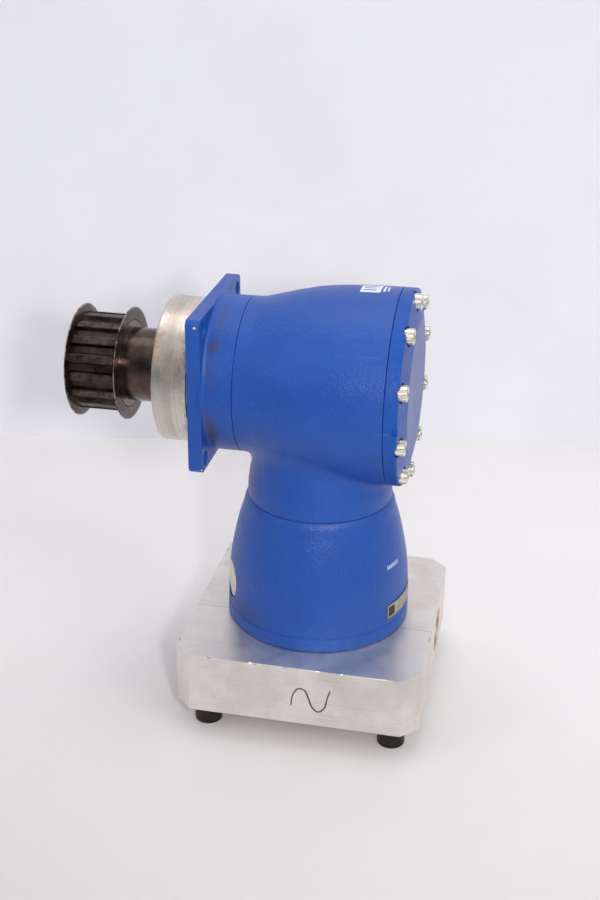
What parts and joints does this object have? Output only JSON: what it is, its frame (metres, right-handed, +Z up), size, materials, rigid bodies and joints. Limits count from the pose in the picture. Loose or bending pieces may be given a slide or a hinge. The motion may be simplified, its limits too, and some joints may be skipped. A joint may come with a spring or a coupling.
{
  "type": "right-angle servo gearbox",
  "caption": "Right-angle planetary servo gearbox: bell housing on a square motor plate, square output flange, steel pilot sleeve and a toothed belt pulley on its output shaft.",
  "frame": {"origin": "centre of the bounding box's bottom face, level with the bolt heads it stands on", "axes": "+Z up along the input axis, -X out along the output shaft towards the pulley, +Y to the gearbox's side"},
  "size_m": [0.241, 0.162, 0.2885],
  "materials": {
    "plate_aluminium": "brushed, lightly scratched",
    "black_steel": "black oxide",
    "dull_zinc": "dull zinc plate",
    "blue_paint": "semi-gloss paint, scuffed",
    "plug_plastic": "moulded",
    "nameplate_metal": "printed foil",
    "zinc_steel": "bright zinc plate",
    "seal_rubber": "moulded",
    "sleeve_steel": "turned, lightly rusted",
    "bearing_steel": "ground",
    "gear_steel": "case hardened",
    "shaft_steel": "ground",
    "hub_steel": "dark oxide",
    "pulley_steel": "dark oxide, worn bright on its edges",
    "pulley_flange_steel": "dark oxide, worn bright on its rim",
    "washer_steel": "plain"
  },
  "bodies": {
    "housing": {"motor_plate": "plate_aluminium", "motor_bolt_1": "black_steel", "motor_bolt_2": "black_steel", "motor_bolt_3": "black_steel", "motor_bolt_4": "black_steel", "adapter_screw_1": "dull_zinc", "adapter_screw_2": "dull_zinc", "adapter_screw_3": "dull_zinc", "adapter_screw_4": "dull_zinc", "input_housing": "blue_paint", "access_plug": "plug_plastic", "nameplate": "nameplate_metal", "gear_housing": "blue_paint", "rear_cover": "blue_paint", "cover_screw_01": "zinc_steel", "cover_screw_02": "zinc_steel", "cover_screw_03": "zinc_steel", "cover_screw_04": "zinc_steel", "cover_screw_05": "zinc_steel", "cover_screw_06": "zinc_steel", "cover_screw_07": "zinc_steel", "cover_screw_08": "zinc_steel", "cover_screw_09": "zinc_steel", "cover_screw_10": "zinc_steel", "cover_o_ring": "seal_rubber", "output_housing": "blue_paint", "pilot_sleeve": "sleeve_steel", "output_seal": "seal_rubber", "front_bearing_outer_ring": "bearing_steel", "rear_bearing_outer_ring": "bearing_steel", "crown_bearing_outer_ring": "bearing_steel", "lower_pinion_bearing_outer_ring": "bearing_steel", "upper_pinion_bearing_outer_ring": "bearing_steel", "ring_gear": "gear_steel", "input_seal": "seal_rubber"},
    "output": {"output_shaft": "shaft_steel", "carrier_plate": "gear_steel", "planet_pin_1": "shaft_steel", "planet_pin_2": "shaft_steel", "planet_pin_3": "shaft_steel", "pulley": "pulley_steel", "pulley_flange_inner": "pulley_flange_steel", "pulley_flange_outer": "pulley_flange_steel", "shaft_key": "shaft_steel", "end_washer": "washer_steel", "end_screw": "black_steel", "front_bearing_inner_ring": "bearing_steel", "rear_bearing_inner_ring": "bearing_steel"},
    "planet_1": {"planet_gear_1": "gear_steel"},
    "planet_2": {"planet_gear_2": "gear_steel"},
    "planet_3": {"planet_gear_3": "gear_steel"},
    "sun": {"sun_shaft": "gear_steel", "crown_wheel": "gear_steel", "crown_nut": "hub_steel", "crown_bearing_inner_ring": "bearing_steel"},
    "input": {"bevel_pinion": "gear_steel", "clamp_hub": "hub_steel", "clamp_screw": "black_steel", "lower_pinion_bearing_inner_ring": "bearing_steel", "upper_pinion_bearing_inner_ring": "bearing_steel"}
  },
  "joints": [
    {"name": "output_spin", "type": "hinge", "parent": "housing", "child": "output", "pos_m": [0, 0, 0.2259], "axis": [1, 0, 0], "continuous": true},
    {"name": "planet_1_spin", "type": "hinge", "parent": "output", "child": "planet_1", "pos_m": [0.009, 0, 0.2019], "axis": [1, 0, 0], "continuous": true},
    {"name": "planet_2_spin", "type": "hinge", "parent": "output", "child": "planet_2", "pos_m": [0.009, 0.02079, 0.2379], "axis": [1, 0, 0], "continuous": true},
    {"name": "planet_3_spin", "type": "hinge", "parent": "output", "child": "planet_3", "pos_m": [0.009, -0.02079, 0.2379], "axis": [1, 0, 0], "continuous": true},
    {"name": "sun_spin", "type": "hinge", "parent": "housing", "child": "sun", "pos_m": [0.04, 0, 0.2259], "axis": [1, 0, 0], "continuous": true},
    {"name": "input_spin", "type": "hinge", "parent": "housing", "child": "input", "pos_m": [0.0395, 0, 0.12], "axis": [0, 0, 1], "continuous": true}
  ],
  "couplings": [
    {"joint": "planet_1_spin", "follows": "output_spin", "ratio": -2.6667},
    {"joint": "planet_2_spin", "follows": "output_spin", "ratio": -2.6667},
    {"joint": "planet_3_spin", "follows": "output_spin", "ratio": -2.6667},
    {"joint": "sun_spin", "follows": "output_spin", "ratio": 5},
    {"joint": "input_spin", "follows": "output_spin", "ratio": 15}
  ]
}
